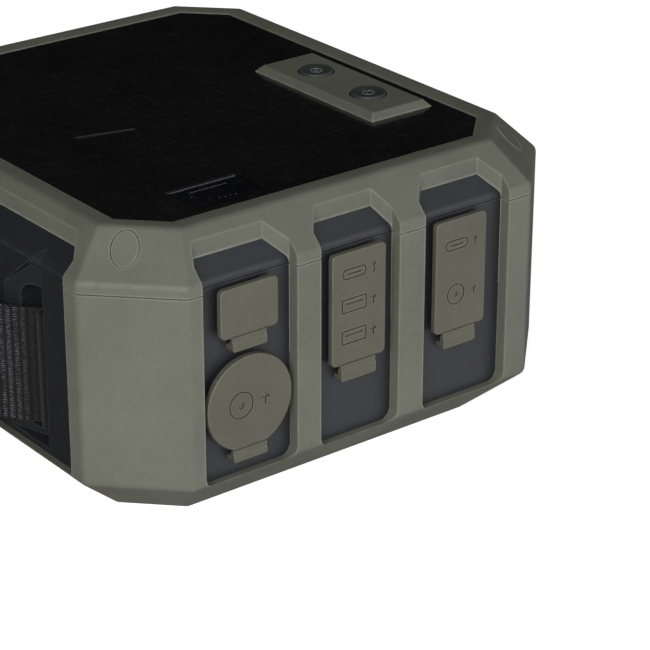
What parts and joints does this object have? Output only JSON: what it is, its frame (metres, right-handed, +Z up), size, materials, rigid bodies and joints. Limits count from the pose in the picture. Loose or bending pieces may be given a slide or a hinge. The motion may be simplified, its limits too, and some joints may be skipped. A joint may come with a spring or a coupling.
{
  "type": "power bank",
  "caption": "Rugged portable power bank: ribbed olive rubber bumper round a black case, hinged port covers, top panel with buttons and a side carry strap.",
  "frame": {"origin": "centre of the flat base of the housing, on the surface it stands on", "axes": "+X right along the port face, seen from in front; -Y out of the port face; +Z up; the carry strap is on the -X side"},
  "size_m": [0.1959, 0.2, 0.0984],
  "materials": {
    "bumper_rubber": "matt olive rubber",
    "cover_rubber": "matt olive rubber",
    "case_plastic": "fine textured black",
    "panel_gloss": "gloss black",
    "window_gloss": "smoked",
    "button_rubber": "matt black rubber",
    "seal_rubber": "matt",
    "socket_plastic": "moulded black",
    "socket_steel": "plated",
    "connector_steel": "plated",
    "connector_plastic": "moulded black",
    "pin_brass": "plated",
    "fixing_steel": "zinc",
    "board": "solder mask",
    "component": "moulded",
    "cell_can": "sleeved can",
    "holder_plastic": "moulded",
    "nickel": "nickel",
    "sink_metal": "extruded",
    "webbing": "woven black webbing"
  },
  "bodies": {
    "housing": {"accessory_socket_barrel": "socket_steel", "accessory_socket_contact": "pin_brass", "accessory_socket_housing": "socket_plastic", "accessory_socket_insulator": "socket_plastic", "accessory_socket_nut": "socket_plastic", "battery_cells": "cell_can", "battery_management_board": "board", "board_components": "component", "button_board": "board", "button_switches": "component", "carry_strap": "webbing", "case_seal": "seal_rubber", "cell_busbars": "nickel", "cell_holder_lower": "holder_plastic", "cell_holder_upper": "holder_plastic", "charge_board": "board", "charge_cover_hinge_tab": "cover_rubber", "charge_jack": "connector_plastic", "charge_port_bezel": "case_plastic", "control_pod": "bumper_rubber", "corner_screw_plugs": "bumper_rubber", "corner_screws": "fixing_steel", "dc_board": "board", "dc_cover_hinge_tab": "cover_rubber", "dc_jack": "connector_plastic", "dc_port_bezel": "case_plastic", "display_module": "component", "display_window": "window_gloss", "heat_sink": "sink_metal", "jack_pins": "pin_brass", "lower_bumper": "bumper_rubber", "lower_case": "case_plastic", "main_board": "board", "socket_cover_hinge_tab": "cover_rubber", "strap_bars": "fixing_steel", "top_panel": "panel_gloss", "upper_bumper": "bumper_rubber", "upper_case": "case_plastic", "usb_a_shells": "connector_steel", "usb_a_tongues": "connector_plastic", "usb_board": "board", "usb_c_shells": "connector_steel", "usb_c_tongues": "connector_plastic", "usb_cover_hinge_tab": "cover_rubber", "usb_port_bezel": "case_plastic"},
    "accessory_socket_cover": {"accessory_socket_cover": "cover_rubber"},
    "charge_port_cover": {"charge_port_cover": "cover_rubber"},
    "dc_port_cover": {"dc_port_cover": "cover_rubber"},
    "output_button": {"output_button": "button_rubber"},
    "power_button": {"power_button": "button_rubber"},
    "usb_port_cover": {"usb_port_cover": "cover_rubber"}
  },
  "joints": [
    {"name": "charge_cover_hinge", "type": "hinge", "parent": "housing", "child": "charge_port_cover", "pos_m": [-0.0443, -0.0986, 0.0617], "axis": [1, 0, 0], "range_deg": [0, 105]},
    {"name": "usb_cover_hinge", "type": "hinge", "parent": "housing", "child": "usb_port_cover", "pos_m": [-0.0029, -0.0986, 0.0405], "axis": [1, 0, 0], "range_deg": [0, 105]},
    {"name": "dc_cover_hinge", "type": "hinge", "parent": "housing", "child": "dc_port_cover", "pos_m": [0.0381, -0.0986, 0.0397], "axis": [1, 0, 0], "range_deg": [0, 105]},
    {"name": "socket_cover_hinge", "type": "hinge", "parent": "housing", "child": "accessory_socket_cover", "pos_m": [-0.0445, -0.0986, 0.0242], "axis": [1, 0, 0], "range_deg": [0, 105]},
    {"name": "power_button_press", "type": "slide", "parent": "housing", "child": "power_button", "axis": [0, 0, -1], "range_m": [0, 0.001], "stiffness_N_per_m": 400, "springref_m": -0.0005},
    {"name": "output_button_press", "type": "slide", "parent": "housing", "child": "output_button", "axis": [0, 0, -1], "range_m": [0, 0.001], "stiffness_N_per_m": 400, "springref_m": -0.0005}
  ]
}
